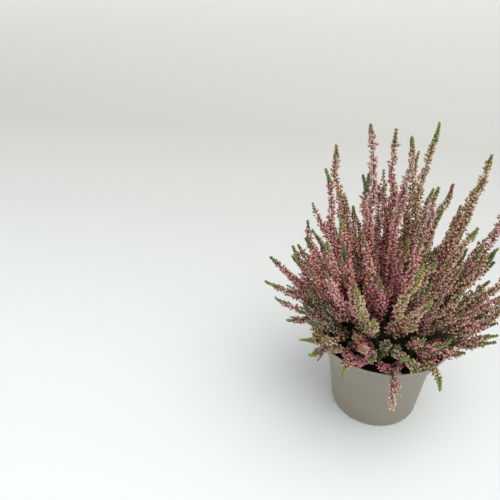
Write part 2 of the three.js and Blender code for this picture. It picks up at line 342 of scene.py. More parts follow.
class Cluster:
    """Gathers many copies of small shapes, with a tint for each copy, into one mesh."""

    def __init__(self):
        self.points, self.triangles, self.tints = [], [], []
        self.reaches, self.finishes, self.smooth = [], [], []
        self.count = 0

    def add(self, shape, places, axes, tints, finish=0, smooth=True):
        """places (n, 3), axes (n, 3, 3) whose rows are the copy's own x, y and z with their
        sizes, and tints (n, 3)."""
        points, triangles = shape
        copies = len(places)
        if copies == 0:
            return
        spread = places[:, None, :] + np.einsum("pj,njk->npk", points, axes)
        low, high = points[:, 2].min(), points[:, 2].max()
        self.gather(spread.reshape(-1, 3),
                    (triangles[None] + len(points) * np.arange(copies)[:, None, None]).reshape(-1, 3),
                    np.repeat(tints, len(points), axis=0),
                    np.tile((points[:, 2] - low) / (high - low), copies), finish, smooth)

    def gather(self, points, triangles, tints, reaches, finish, smooth):
        """Triangles between points, each point with a tint and how far up its shape it lies."""
        self.points.append(points)
        self.triangles.append(triangles + self.count)
        self.tints.append(tints)
        self.reaches.append(reaches)
        self.finishes.append(np.full(len(triangles), finish))
        self.smooth.append(np.full(len(triangles), smooth))
        self.count += len(points)

    def piece(self, name):
        """All that was gathered, as one object."""
        mesh = bpy.data.meshes.new(name)
        points, triangles = np.concatenate(self.points), np.concatenate(self.triangles)
        mesh.vertices.add(len(points))
        mesh.vertices.foreach_set("co", points.astype(np.float32).ravel())
        mesh.loops.add(3 * len(triangles))
        mesh.loops.foreach_set("vertex_index", triangles.astype(np.int32).ravel())
        mesh.polygons.add(len(triangles))
        mesh.polygons.foreach_set("loop_start", np.arange(0, 3 * len(triangles), 3, dtype=np.int32))
        mesh.polygons.foreach_set("material_index", np.concatenate(self.finishes).astype(np.int32))
        mesh.polygons.foreach_set("use_smooth", np.concatenate(self.smooth))
        tints = np.ones((len(points), 4), np.float32)
        tints[:, :3] = np.concatenate(self.tints)
        mesh.attributes.new("tint", "FLOAT_COLOR", "POINT").data.foreach_set("color", tints.ravel())
        reaches = np.concatenate(self.reaches).astype(np.float32)
        mesh.attributes.new("reach", "FLOAT", "POINT").data.foreach_set("value", reaches)
        mesh.update(calc_edges=True)
        return bpy.data.objects.new(name, mesh)


def turned_axes(draws, count, sizes):
    """Axes of `count` copies, each turned at random, at their own sizes (count, 3)."""
    first = draws.normal(size=(count, 3))
    first /= np.linalg.norm(first, axis=1, keepdims=True)
    second = np.cross(first, draws.normal(size=(count, 3)))
    second /= np.linalg.norm(second, axis=1, keepdims=True)
    axes = np.stack([first, second, np.cross(first, second)], axis=1)
    return axes * sizes[:, :, None]


def peat_bed():
    """The root ball: it follows the pot's inside, and its uneven top falls towards the wall."""
    edge, inside = peat_height - peat_fall, clear + wall
    rise = [(0, floor_depth + clear), (foot_radius - inside, floor_depth + clear),
            (bend_radius - inside, bend_height),
            (rim_radius - collar_slope * (rim_height - edge) - inside, edge),
            (level_radius + shoulder_out, peat_height - shoulder_down)]
    top = [(level_radius * (1 - ring / bed_rings), peat_height) for ring in range(bed_rings + 1)]
    bed = spun(rise + top, steps=bed_steps)
    for vertex in bed.verts:
        if vertex.co.z > edge + 0.1 * mm:
            lumps = noise.fractal(vertex.co * lumps_per_metre, *lump_detail)
            vertex.co.z += lump_rise * lumps - lump_sink
    return shape_of(bed)


def crumb():
    """A rough grain of radius 1."""
    body = bmesh.new()
    bmesh.ops.create_icosphere(body, subdivisions=1, radius=1.0)
    for vertex in body.verts:
        vertex.co *= 1 + crumb_dents * noise.noise(vertex.co * dents_per_radius)
    return shape_of(body)


peat_draws = np.random.RandomState(41)
root_ball = Cluster()
bed_points, bed_triangles = peat_bed()
dark_peat = np.array(colour(peat_brown)[:3])
root_ball.gather(bed_points, bed_triangles, np.tile(dark_peat, (len(bed_points), 1)),
                 np.zeros(len(bed_points)), 0, True)
crumb_out = crumb_reach * np.sqrt(peat_draws.uniform(0, 1, crumbs))
crumb_turn = peat_draws.uniform(0, math.tau, crumbs)
crumb_sizes = peat_draws.uniform(*crumb_radii, (crumbs, 1)) ** crumb_skew * mm
crumb_low = np.clip((crumb_out - level_radius) / (crumb_reach - level_radius), 0, 1) * peat_fall
crumb_places = np.stack([crumb_out * np.cos(crumb_turn), crumb_out * np.sin(crumb_turn),
                         peat_height - crumb_sunk - crumb_low * crumb_fall], axis=1)
crumb_tints = dark_peat * peat_draws.uniform(*crumb_tones, (crumbs, 1))
crumb_widths = crumb_sizes * peat_draws.uniform(*crumb_flatness, (crumbs, 3))
root_ball.add(crumb(), crumb_places, turned_axes(peat_draws, crumbs, crumb_widths), crumb_tints,
              smooth=False)
hand_over(root_ball.piece("root_ball"), [peat()], "peat", "soil")


# ---------------------------------------- growth
# How the plant stands: stems in rings from the middle outwards, each ring leaning further, with
# side spires that swing away from their stem. It is the solids' own rule with the same draws.
root_middle, root_spread = 6, 50
first_lean, full_lean_at, tip_curl, curl_length = 0.4, 45, 0.45, 90
droop_from, droop_length, hangs = 22, 26, 40
fork_length, follow_step = 35, 4
rings = [
    dict(lean=0, spread=0, turn=0, sides=[0], lengths=[195]),
    dict(lean=7, spread=3, turn=54, sides=[1], lengths=[200, 194, 210, 152, 164]),
    dict(lean=20, spread=3, turn=15, sides=[1],
         lengths=[185, 148, 136, 146, 189, 138, 144, 146, 148],
         droops=[3, 4, 0, -3, -1, 0, 0, 0, 4]),
    dict(lean=34, spread=4, turn=12, sides=[2, 1],
         lengths=[152, 140, 130, 128, 130, 104, 118, 136, 124, 154, 122, 130],
         droops=[0, 0, 0, 0, 0, 4, 0, -7, 0, 0, -12, -4]),
    dict(lean=54, spread=7, turn=0, sides=[2],
         lengths=[108, 102, 100, 98, 98, 98, 106, 102, 74, 80, 74, 78, 80, 104],
         droops=[-12, -8, -10, -8, -10, 0, -14, 8, -24, -8, 0, 0, -14, -12]),
    dict(lean=78, spread=6, turn=10, sides=[2, 1],
         lengths=[84, 76, 60, 74, 72, 82, 64, 52, 42, 64, 50, 60],
         droops=[-30, -34, 12, -30, -32, -46, -10, -26, 80, 92, 88, -34]),
]
shoots = [(272, 58, 40), (322, 62, 54), (20, 62, 56), (142, 64, 54), (199, 66, 48)]
turn_wobble, lean_wobble, sway_most, side_spacing = 0.1, 1.5, 3, 0.3
side_leans, side_turns = (0.8, 1.1), (0.85, 1.1)
short_side, long_side, low_fork, high_fork = 0.74, 0.92, 0.15, 0.24
bare_share, level_bare_share, fork_bare = 0.34, 0.22, 16
tip_lengths = 7, 13  # the leafy end of a spire, past its last buds
hole_depth = 8.7
stalk_step, least_steps = 3, 8
stem_waves = (95, 2.4), (38, 0.9)  # the small bends of a stem: how long they are, and how deep
waves_grow, waves_ease, wave_spread, wave_limit = 70, 1.3, 0.6, 1.2
hanging_fullness = 0.6  # how long the twigs of a hanging spray are

seed = 20611


def draw():
    """The next number from 0 to 1 of the solids' own row."""
    global seed
    seed = (seed * 1664525 + 1013904223) & 0xFFFFFFFF
    return seed / 2 ** 32


def between(low, high):
    return low + (high - low) * draw()


def smooth(share):
    share = min(1.0, max(0.0, share))
    return share * share * (3 - 2 * share)


def ease_out(share):
    return math.sin(min(1.0, max(0.0, share)) * math.pi / 2)


def lean_at(lean, droop, along):
    """How far from upright a stem points at a length along it: it sets out steeper, leans
    most some way up, and curls up or droops towards its tip."""
    bent = droop * smooth((along - droop_from) / droop_length)
    if along < full_lean_at:
        rise = math.sin(along / full_lean_at * math.pi / 2)
        return lean * (first_lean + (1 - first_lean) * rise) + bent
    return lean * (1 - tip_curl * smooth((along - full_lean_at) / curl_length)) + bent


def reach(lean, droop, along):
    """How far out from the pot's middle a stem is at a length along it, and how high."""
    out = root_middle + root_spread * lean / 90 if lean > 0 else 0
    up = peat_height / mm + min(0, along)
    done = 0
    while done < along:
        length = min(follow_step, along - done)
        angle = math.radians(lean_at(lean, droop, done + length / 2))
        out += math.sin(angle) * length
        up += math.cos(angle) * length
        done += follow_step
    return out, up


def point_on(spire, along):
    """The place of a spire at a length along it."""
    swing = 0 if spire["fork"] is None else ease_out((along - spire["fork"]) / fork_length)
    lean = spire["lean"] + spire["lean_away"] * swing
    turn = math.radians(spire["turn"] + spire["turn_away"] * swing)
    out, up = reach(lean, spire["droop"], along)
    aside = spire["sway"] * (max(0, along) / 100) ** 2
    return (out * math.cos(turn) - aside * math.sin(turn),
            out * math.sin(turn) + aside * math.cos(turn), up)


def spray_plan(ring, index):
    """The leading spire of one spray, and then its side spires."""
    share = 360 / len(ring["lengths"])
    lean = ring["lean"] + (between(-lean_wobble, lean_wobble) if ring["lean"] > 0 else 0)
    turn = ring["turn"] + share * (index + between(-turn_wobble, turn_wobble))
    droop = ring["droops"][index] if "droops" in ring else 0
    length = ring["lengths"][index]
    sway = between(-sway_most, sway_most)
    main = dict(lean=lean, turn=turn, droop=droop, length=length, sway=sway, lean_away=0,
                turn_away=0, fork=None, twist=between(0, 90))
    spires = [main]
    sides = 0 if droop > hangs else ring["sides"][index % len(ring["sides"])]
    for side in range(sides):
        hand = 1 if side % 2 == 0 else -1
        spires.append({
            **main,
            "fork": length * between(low_fork, high_fork),
            "length": length * between(short_side, long_side),
            "lean_away": hand * ring["spread"] * between(*side_leans),
            "turn_away": hand * share * side_spacing * between(*side_turns),
            "twist": between(0, 90),
        })
    draw()  # the solids' own colour
    return spires


class Stalk:
    """A line of points one step apart, with two directions square to it at every point."""

    def __init__(self, points, start, step, sideways):
        self.points, self.start, self.step = np.asarray(points), start, step
        tangent = np.gradient(self.points, axis=0)
        self.tangents = tangent / np.linalg.norm(tangent, axis=1, keepdims=True)
        side = sideways - (self.tangents @ sideways)[:, None] * self.tangents
        self.sides = side / np.linalg.norm(side, axis=1, keepdims=True)

    def at(self, along):
        """Points, tangents and both square directions at these lengths along it."""
        place = (np.asarray(along, float) - self.start) / self.step
        low = np.clip(place.astype(int), 0, len(self.points) - 2)
        part = (place - low)[:, None]
        mixed = [rows[low] * (1 - part) + rows[low + 1] * part
                 for rows in (self.points, self.tangents, self.sides)]
        return (*mixed, np.cross(mixed[1], mixed[2]))


def spire_stalk(spire, draws):
    """The line of a spire, with the small bends that no rule gives."""
    start = -hole_depth if spire["fork"] is None else spire["fork"]
    steps = max(least_steps, round((spire["length"] - start) / stalk_step))
    step = (spire["length"] - start) / steps
    along = start + step * np.arange(steps + 1)
    points = np.array([point_on(spire, one) for one in along]) * mm
    grown = np.clip((along - max(start, 0)) / waves_grow, 0, 1)[:, None] ** waves_ease
    for wave_length, depth in stem_waves:
        ways = draws.normal(0, wave_spread, (2, 3)) * depth * mm
        limit = wave_limit * depth * mm
        phase = draws.uniform(0, math.tau)
        waves = np.stack([np.sin(along / wave_length * math.tau + phase),
                          np.cos(along / wave_length * math.tau + phase)], axis=1)
        points += grown * (waves @ np.clip(ways, -limit, limit))
    turn = math.radians(spire["turn"])
    stalk = Stalk(points, start, step, np.array([-math.sin(turn), math.cos(turn), 0.0]))
    stalk.twist = math.radians(spire["twist"])
    stalk.fullness = hanging_fullness if spire["droop"] > hangs else 1.0
    stalk.length = spire["length"]
    stalk.tip = draws.uniform(*tip_lengths)
    bare = bare_share + (level_bare_share - bare_share) * spire["lean"] / 90
    stalk.buds_from = spire["length"] * bare
    if spire["fork"] is not None:
        stalk.buds_from = max(stalk.buds_from, spire["fork"] + fork_bare)
    return stalk


# ---------------------------------------- foliage
# Woody stems as thin as wire, with keeled scale leaves in crossed pairs: loose on the stems,
# tight on the short green side shoots and on the tip that every spire ends in.
dark_green, mid_green, lime = "#2b4023", "#55703a", "#8aa648"
old_greens, young_greens = (dark_green, mid_green), (mid_green, lime)
bark_brown, bark_red, reddens_over = "#5a4030", "#8a5a4e", 100 * mm
# How leaves sit: the step from pair to pair, how far they stand off in degrees, how long they
# are, how much smaller the last are than the first, and how stout for their length.
stem_leaves = dict(pitch=3.0, splay=48, length=2.6)
shoot_leaves = dict(pitch=1.25, splay=34, length=2.2, slim=0.3)
foot_leaves = dict(pitch=1.3, splay=42, length=2.8, slim=0.25, stout=1.1)
tip_leaves = dict(pitch=1.1, splay=34, length=3.4, slim=0.4, stout=1.6)
leaf_waist, leaf_keel, leaf_width, leaf_breadth, leaf_gap = 0.42, 0.16, 0.5, 0.62, 0.35
leaf_sizes, leaf_tilts = (0.85, 1.15), (0.8, 1.2)
closing = 0.65  # how far the leaves have closed round the stalk where it ends
pair_turn = math.radians(99)  # a little over square, as the pairs wind slowly up the stalk
golden = math.radians(137.5)
# Radii of stalks at their foot and at their tip.
stem_tube, fork_tube, foot_tube, shoot_tube = (1.15, 0.4), (0.8, 0.4), (0.45, 0.25), (0.4, 0.25)
thin_tube = 0.7  # a stalk that starts thinner than this gets a square tube
bare_foot, bare_fork, leaves_past, tip_before, tip_past = 5, 4, 6, 4, 0.2
shoots_from, fork_shoots_from, shoots_past, shoot_gap = 9, 6, 8, 5
shoot_lengths, shoot_gain, shoot_lift, shoot_bare = (7, 12), 8, 0.5, 1.0
side_steps, side_rise, side_curl = 4, 0.6, 0.32
old_shoots, old_feet = 0.8, 0.75  # the shares of shoots that have darkened
feet_inside, feet_outside, feet_when_leafy, foot_lengths = 2, 5, 8, (11, 21)
foot_starts, foot_turn = (1.5, 6), 0.9
foot_out, foot_settle, foot_rise, foot_curl = 0.85, 0.2, 0.25, 0.35
climb_from, climb_length, over_peat, over_rim_by = 50 * mm, rim_radius - 54 * mm, mm, 2.5 * mm


def leaf_shape():
    """A keeled, pointed scale of length 1 along z, its back towards +x."""
    body = bmesh.new()
    bmesh.ops.create_uvsphere(body, u_segments=3, v_segments=2, radius=0.5)
    bmesh.ops.translate(body, verts=body.verts, vec=(0, 0, 0.5))
    for vertex in body.verts:
        if 0.1 < vertex.co.z < 0.9:
            vertex.co.z = leaf_waist
        vertex.co.x += leaf_keel * math.sin(vertex.co.z * math.pi)
    bmesh.ops.scale(body, vec=(leaf_width, leaf_breadth, 1.0), verts=body.verts)
    return shape_of(body)


leaf = leaf_shape()


def leaning(stalk, along, angles, splay, sizes, standoff):
    """Places, axes and outward ways of copies that grow from a stalk, tilted by `splay`."""
    centre, tangent, side, across = stalk.at(along)
    outward = np.cos(angles)[:, None] * side + np.sin(angles)[:, None] * across
    splay = splay[:, None]
    forward = tangent * np.cos(splay) + outward * np.sin(splay)
    back = outward * np.cos(splay) - tangent * np.sin(splay)
    axes = np.stack([back, np.cross(forward, back), forward], axis=1)
    return centre + outward * standoff * mm, axes * sizes[:, None, None] * mm, outward


def pairs(start, end, pitch, twist, draws, wobble=0.08, loose=0.12):
    """Lengths and angles of crossed pairs, from start to end along a stalk."""
    count = max(1, int((end - start) / pitch))
    order = np.repeat(np.arange(count), 2)
    along = start + pitch * (order + draws.uniform(-wobble, wobble, 2 * count))
    angles = twist + order * pair_turn + np.tile([0, math.pi], count)
    return along, angles + draws.normal(0, loose, 2 * count)


def tints_between(first, second, shares, draws, spread=0.16):
    """Colours between two, by share, each a little lighter or darker than the next."""
    a, b = (np.array(colour(text)[:3]) for text in (first, second))
    mixed = a + (b - a) * np.clip(shares, 0, 1)[:, None]
    return mixed * draws.uniform(1 - spread, 1 + spread, (len(shares), 1))


class Growth:
    """What grows from one stem: the draws that shape it, its stalks as (stalk, radius at the
    foot, radius at the tip), its leaves and its buds."""

    def __init__(self, first_seed, number, level=False, leafy=0.0):
        self.draws = np.random.RandomState(first_seed + number)
        self.stalks, self.foliage, self.flowers = [], Cluster(), Cluster()
        self.level, self.leafy = level, leafy


def grow_leaves(plant, stalk, start, end, colours, pitch, splay, length, slim=0.0, stout=1.0):
    """Crossed pairs of leaves along a stalk, from one colour to another and ever smaller."""
    if end - start < pitch:
        return
    draws = plant.draws
    along, angles = pairs(start, end, pitch, draws.uniform(0, 3), draws)
    share = (along - start) / max(1e-6, end - start)
    sizes = length * (1 - slim * share) * draws.uniform(*leaf_sizes, len(along))
    tilt = np.radians(splay) * (1 - closing * share) * draws.uniform(*leaf_tilts, len(along))
    places, axes, _ = leaning(stalk, along, angles, tilt, sizes, leaf_gap)
    axes[:, :2] *= stout
    tints = tints_between(*colours, share, draws)
    plant.foliage.add(leaf, places, axes, tints, finish=1, smooth=False)


def side_stalk(parent, along, angle, length, lift, spread=0.62, settle=0.28):
    """A short shoot that leaves its parent outwards and curves up beside it."""
    centre, tangent, side, across = (rows[0] for rows in parent.at([along]))
    outward = math.cos(angle) * side + math.sin(angle) * across
    shares = np.linspace(0, 1, side_steps + 1)[:, None]
    points = (centre + outward * length * mm * (spread * shares - settle * shares ** 2)
              + tangent * length * mm * (side_rise * shares + side_curl * shares ** 2))
    points[:, 2:] += lift * mm * shares ** 2
    return Stalk(points, 0.0, length / side_steps, np.cross(tangent, outward))


def tubes_of(stalks):
    """Every stalk as a tube that tapers to its tip, (stalk, thick, thin): the thick ones
    rounded, the thin ones square and with half the steps."""
    body = bmesh.new()
    for rounding, step, low, high in ((1, 1, thin_tube, math.inf), (0, 2, 0, thin_tube)):
        curve = bpy.data.curves.new("stalks", "CURVE")
        curve.dimensions = "3D"
        curve.bevel_depth = 1.0
        curve.bevel_resolution = rounding
        curve.use_fill_caps = True
        for stalk, thick, thin in stalks:
            if not low <= thick < high:
                continue
            line = stalk.points[::step]
            spline = curve.splines.new("POLY")
            spline.points.add(len(line) - 1)
            row = np.column_stack([line, np.ones(len(line))])
            radii = np.linspace(thick, thin, len(line)) * mm
            spline.points.foreach_set("co", row.astype(np.float32).ravel())
            spline.points.foreach_set("radius", radii.astype(np.float32))
        holder = bpy.data.objects.new("stalks", curve)
        mesh = bpy.data.meshes.new_from_object(holder)
        bpy.data.objects.remove(holder)
        body.from_mesh(mesh)
        bpy.data.meshes.remove(mesh)
    return shape_of(body)


def add_stalks(plant, second, share=None):
    """The stalks themselves, from brown to a second colour: by height, or all by one share."""
    points, triangles = tubes_of(plant.stalks)
    rise = (points[:, 2] - peat_height) / reddens_over
    shares = rise if share is None else np.full(len(points), share)
    tints = tints_between(bark_brown, second, shares, plant.draws, spread=0.0)
    plant.foliage.gather(points, triangles, tints, np.full(len(points), 0.5), 0, True)


def bark():
    """Flaky and dull, with its tint from the mesh."""
    material, tree, shader = new_material("heather_bark")
    flaked, flakes = mottle(tree, carried(tree, "tint", "Color"), spots_per_metre=1300.0, depth=1.1)
    fed(tree, shader, Base_Color=flaked, Specular_IOR_Level=0.25, Roughness=0.85,
        Normal=relief(tree, flakes, strength=0.5, distance=0.2 * mm))
    return material


def tip_shading():
    """Darker at the foot of each leaf or bud, and another colour at its point. On the buds the darker
    foot is partly the calyx and partly painted shade, and the cream point partly their paler sepal tips
    and partly a painted highlight.
    """
    tree, given, put_out = new_group(
        "tip_shading",
        {"Colour": ("NodeSocketColor", (0.5, 0.5, 0.5, 1)),
         "Foot value": ("NodeSocketFloat", 0.5),
         "Point": ("NodeSocketColor", (0.8, 0.6, 0.5, 1)),
         "Point share": ("NodeSocketFloat", 0.5)},
        {"Colour": "NodeSocketColor"},
    )
    along, half_way = carried(tree, "reach", "Fac"), 0.45
    foot = new_node(tree, "MapRange", Value=along, From_Max=half_way, To_Min=given["Foot value"],
                    To_Max=1.0)
    point = new_node(tree, "MapRange", Value=along, From_Min=half_way, To_Max=given["Point share"])
    foot.interpolation_type = point.interpolation_type = "SMOOTHSTEP"
    shaded = new_node(tree, "HueSaturation", Value=foot.outputs["Result"], Color=given["Colour"])
    mixed = tree.nodes.new("ShaderNodeMix")
    mixed.data_type = "RGBA"
    fed(tree, mixed, Factor=point.outputs["Result"], A=shaded.outputs["Color"], B=given["Point"])
    fed(tree, put_out, Colour=mixed.outputs["Result"])
    return tree


foot_shade_and_point_highlight = tip_shading()
roughness_change = 0.12


def growing_matter(name, foot_value, point, point_share, spots, depth, roughness):
    """The material of leaves and of buds, each with its own values."""
    material, tree, shader = new_material(name)
    ends = placed_group(tree, foot_shade_and_point_highlight, Colour=carried(tree, "tint", "Color"), Foot_value=foot_value,
                        Point=colour(point), Point_share=point_share)
    skin, height = mottle(tree, ends["Colour"], spots, depth)
    fed(tree, shader, Base_Color=skin, Specular_IOR_Level=0.35,
        Roughness=between_values(tree, height, roughness - roughness_change,
                                 roughness + roughness_change))
    return material


bark_material = bark()
leaf_material = growing_matter("scale_leaf", foot_value=0.7, point="#a3ad5c", point_share=0.3,
                               spots=700.0, depth=0.5, roughness=0.5)


def rough_steps(draws, low, high, gap):
    """Lengths along a stalk from low to high, about a gap apart, each a little off."""
    count = max(0, int((high - low) / gap))
    return low + gap * (np.arange(count) + draws.uniform(0.1, 0.9, count))


def over_the_rim(points):
    """Lifts the points of a shoot that would otherwise run into the pot's wall."""
    out = np.hypot(points[:, 0], points[:, 1])
    share = np.clip((out - climb_from) / climb_length, 0, 1)
    share = share * share * (3 - 2 * share)
    least = (peat_height + over_peat) * (1 - share) + (rim_height + over_rim_by) * share
    points[:, 2] = np.maximum(points[:, 2], least)
    return points


def foot_shoot(stalk, draws, shortest, longest):
    """A shoot of a drawn length that leaves the foot of a stem outwards, and clears the rim."""
    foot, out = stalk.at([draws.uniform(*foot_starts)])[0][0], np.zeros(3)
    turn = math.atan2(foot[1], foot[0]) + draws.normal(0, foot_turn)
    out[:2] = math.cos(turn), math.sin(turn)
    length = draws.uniform(shortest, longest)
    shares = np.linspace(0, 1, side_steps + 1)[:, None]
    points = foot + out * length * mm * (foot_out * shares - foot_settle * shares ** 2)
    points[:, 2:] += length * mm * (foot_rise * shares + foot_curl * shares ** 2)
    sideways = np.cross((0, 0, 1), out)
    return Stalk(over_the_rim(points), 0.0, length / side_steps, sideways), length


def greens(draws, old_share):
    """The greens of one shoot, by the share of shoots that have darkened."""
    return old_greens if draws.uniform() < old_share else young_greens


def foot_shoots(plant, stalk, count):
    """Leafy shoots from the foot of a stem, which hide the peat up to the rim."""
    for _ in range(count):
        shoot, length = foot_shoot(stalk, plant.draws, *foot_lengths)
        plant.stalks.append((shoot, *foot_tube))
        grow_leaves(plant, shoot, shoot_bare, length, greens(plant.draws, old_feet), **foot_leaves)


def grow_foliage(plant, stalks, tips):
    """Leaves and green side shoots on the spires of one spray, and their green tips."""
    draws = plant.draws
    feet = feet_outside if plant.level else feet_inside
    foot_shoots(plant, stalks[0], feet + round(feet_when_leafy * plant.leafy))
    for stalk, tip_colours in zip(stalks, tips):
        main = stalk.start < 0
        plant.stalks.append((stalk, *(stem_tube if main else fork_tube)))
        leaves_from = bare_foot if main else stalk.start + bare_fork
        grow_leaves(plant, stalk, leaves_from, stalk.buds_from + leaves_past, old_greens, **stem_leaves)
        first_shoot = shoots_from if main else stalk.start + fork_shoots_from
        places = rough_steps(draws, first_shoot, stalk.buds_from + shoots_past, shoot_gap)
        for number, along in enumerate(places):
            length = draws.uniform(*shoot_lengths)
            length += shoot_gain * draws.uniform() ** 2 * (along / stalk.buds_from)
            shoot = side_stalk(stalk, along, stalk.twist + golden * number, length, shoot_lift)
            plant.stalks.append((shoot, *shoot_tube))
            grow_leaves(plant, shoot, shoot_bare, length, greens(draws, old_shoots), **shoot_leaves)
        grow_leaves(plant, stalk, stalk.length - stalk.tip - tip_before, stalk.length + tip_past,
                    tip_colours, **tip_leaves)


# ---------------------------------------- buds
# The flower buds never open: four coloured sepals folded into a plump point, on a stalk of
# hardly a millimetre, each in the fold of a small bract, in crossed pairs up every spire.
families = {  # the buds' colours where a spire begins to flower, and near its tip
    "rose": ("#cc6066", "#c6968b"), "dusk": ("#b05a5e", "#b99084"), "tan": ("#c27e64", "#bfa283"),
    "olive": ("#ba9868", "#b2ae78"), "magenta": ("#c8406e", "#c87f88"),
    "pink": ("#e2788c", "#d6a6a1"), "coral": ("#e0586c", "#d2928b"), "blush": ("#c86f79", "#caa79f"),
    "rouge": ("#d04a64", "#c49a86"), "turning": ("#c67a7e", "#b4aa68"),
    "shade": ("#8a6a5a", "#7d7a56"), "ivory": ("#b8606c", "#d8cbb0"),
}
# How buds sit: the step from pair to pair, how large they are, how much smaller the last are
# than the first, and how far the first and the last have paled.
bud_length = 3.15
spire_buds = dict(pitch=1.25, size=1.08, slim=0.3, paling=(0.4, 1))
twig_buds = dict(pitch=1.65, size=0.98, slim=0.15)
spur_buds = dict(pitch=1.25, size=0.95, slim=0.25, paling=(0.2, 0.9))
foot_buds = dict(pitch=1.25, size=1.05, slim=0.25, paling=(0, 0.6))
bud_rings, bud_twist = ((0.8, 0.32), (0.6, 0.72)), 0.6  # how wide and how high, and the fold
bud_sizes, bud_tilts = (0.7, 1.2), (0.7, 1.25)
bud_splay, closed_splay, bud_gap, longest_bud_stalk = 58, 12, 0.6, 1.4
bud_wobble, bud_loose, lost_buds, bud_paling, bud_tones = 0.3, 0.3, 0.04, 0.4, 0.32
bract_share, bract_length, bract_below, bract_gap, bract_tones = 0.4, 3.2, 0.3, 0.3, 0.3
bract_splay = 1.1
bract_red, bract_olive = "#95645a", "#8d8350"
# Where twigs, spurs and flowering foot shoots stand, how long they are, and their own leaves.
twigs_before, past_fork, twig_gap, twig_tube = 10, 6, 2.1, (0.42, 0.25)
short_twig, long_twig, twig_fade, bare_twig, twig_bare = 3.2, 9, 4.5, 4, 0.8
twig_sizes, twig_spreads, twig_lift, twig_aside = (0.65, 1.25), (0.5, 0.86), 1.5, 0.5
twig_buds_past, twig_leaves_past, twig_paling, twig_paling_step = 0.3, 1, 0.75, 0.25
full_inside, full_outside = 0.5, 0.6  # the share of a spire that is set with twigs alone
spire_buds_before, spire_buds_past, spurs_up_to = 8, 3, 0.5
twig_leaves = dict(pitch=1.25, splay=36, length=2.3, slim=0.2)
spurs_inside, spurs_outside = 3, 2
spur_lengths, outer_spur, spur_tube, spur_bare, spur_tip = (20, 40), 0.7, (0.5, 0.3), 3, 8
spur_room, spur_lift, spur_spreads, spur_settle, spur_buds_to = 0.8, 4, (0.3, 0.55), 0.22, 5
spur_tip_leaves = dict(pitch=1.1, splay=36, length=2.7, slim=0.4, stout=1.3)
foot_flower_least, foot_twig_gap, foot_twig, foot_twig_spread = 16, 2.6, 5, 0.7
foot_buds_from, foot_leaves_to, foot_twigs_from, foot_twigs_to = 0.25, 0.4, 0.3, 3
low_leaves = dict(pitch=1.6, splay=45, length=2.6)


def bud_shape():
    """A closed bud of length 1 along z: four folded sepals, the upper half turned on the lower."""
    body = bmesh.new()
    bmesh.ops.create_uvsphere(body, u_segments=4, v_segments=3, radius=0.5)
    bmesh.ops.translate(body, verts=body.verts, vec=(0, 0, 0.5))
    lower = [v for v in body.verts if 0.2 < v.co.z < 0.4]
    upper = [v for v in body.verts if 0.6 < v.co.z < 0.8]
    for ring, (width, height) in zip((lower, upper), bud_rings):
        for vertex in ring:
            vertex.co.x *= width
            vertex.co.y *= width
            vertex.co.z = height
    bmesh.ops.rotate(body, verts=upper, cent=(0, 0, 0), matrix=Matrix.Rotation(bud_twist, 3, "Z"))
    return shape_of(body)


bud = bud_shape()
# The buds' darker foot is partly painted shade, and their cream point partly a painted highlight.
bud_material = growing_matter("folded_sepals", foot_value=0.55, point="#f8dfcc", point_share=0.55,
                              spots=600.0, depth=0.3, roughness=0.55)
bract_material = growing_matter("bracts", foot_value=0.85, point="#b09a6a", point_share=0.35,
                                spots=700.0, depth=0.4, roughness=0.6)


def grow_buds(plant, stalk, start, end, colours, paling, pitch, size, slim):
    """Crossed pairs of buds, and bracts under some of them, from start to end along a stalk.
    paling gives how far from the first colour to the second they are at both ends."""
    if end - start < pitch:
        return
    draws = plant.draws
    drawn_twist = draws.uniform(0, 3)
    twist = getattr(stalk, "twist", drawn_twist)
    along, angles = pairs(start, end, pitch, twist, draws, bud_wobble, bud_loose)
    share = np.clip((along - start) / (end - start), 0, 1)
    kept = draws.uniform(0, 1, len(along)) > lost_buds
    along, angles, share = along[kept], angles[kept], share[kept]
    count = len(along)
    sizes = size * (1 - slim * share ** 1.5) * draws.uniform(*bud_sizes, count)
    splay = np.radians(bud_splay - closed_splay * share) * draws.uniform(*bud_tilts, count)
    places, axes, outward = leaning(stalk, along, angles, splay, bud_length * sizes, bud_gap)
    places += outward * draws.uniform(0, longest_bud_stalk, (count, 1)) * sizes[:, None] * mm
    mixed = paling[0] + (paling[1] - paling[0]) * share + draws.uniform(-bud_paling, bud_paling, count)
    plant.flowers.add(bud, places, axes, tints_between(*colours, mixed, draws, bud_tones))
    under = draws.uniform(0, 1, count) < bract_share
    places, axes, _ = leaning(stalk, along[under] - bract_below, angles[under],
                              splay[under] * bract_splay, bract_length * sizes[under], bract_gap)
    bract_tints = tints_between(bract_red, bract_olive, mixed[under], draws, bract_tones)
    plant.flowers.add(leaf, places, axes, bract_tints, finish=1, smooth=False)


def foot_flowers(plant, stalk, count, longest, family):
    """Short flowering shoots from the foot of an outer stem, that lie out over the rim."""
    draws, colours = plant.draws, families[family]
    for _ in range(count):
        shoot, length = foot_shoot(stalk, draws, foot_flower_least, longest)
        plant.stalks.append((shoot, *spur_tube))
        grow_leaves(plant, shoot, shoot_bare, foot_leaves_to * length, old_greens, **low_leaves)
        grow_buds(plant, shoot, foot_buds_from * length, length, colours, **foot_buds)
        places = rough_steps(draws, foot_twigs_from * length, length - foot_twigs_to, foot_twig_gap)
        for along in places:
            twig = side_stalk(shoot, along, draws.uniform(0, math.tau), foot_twig, shoot_lift,
                              foot_twig_spread)
            grow_buds(plant, twig, twig_bare, foot_twig, colours, paling=(0, 0.4), **twig_buds)


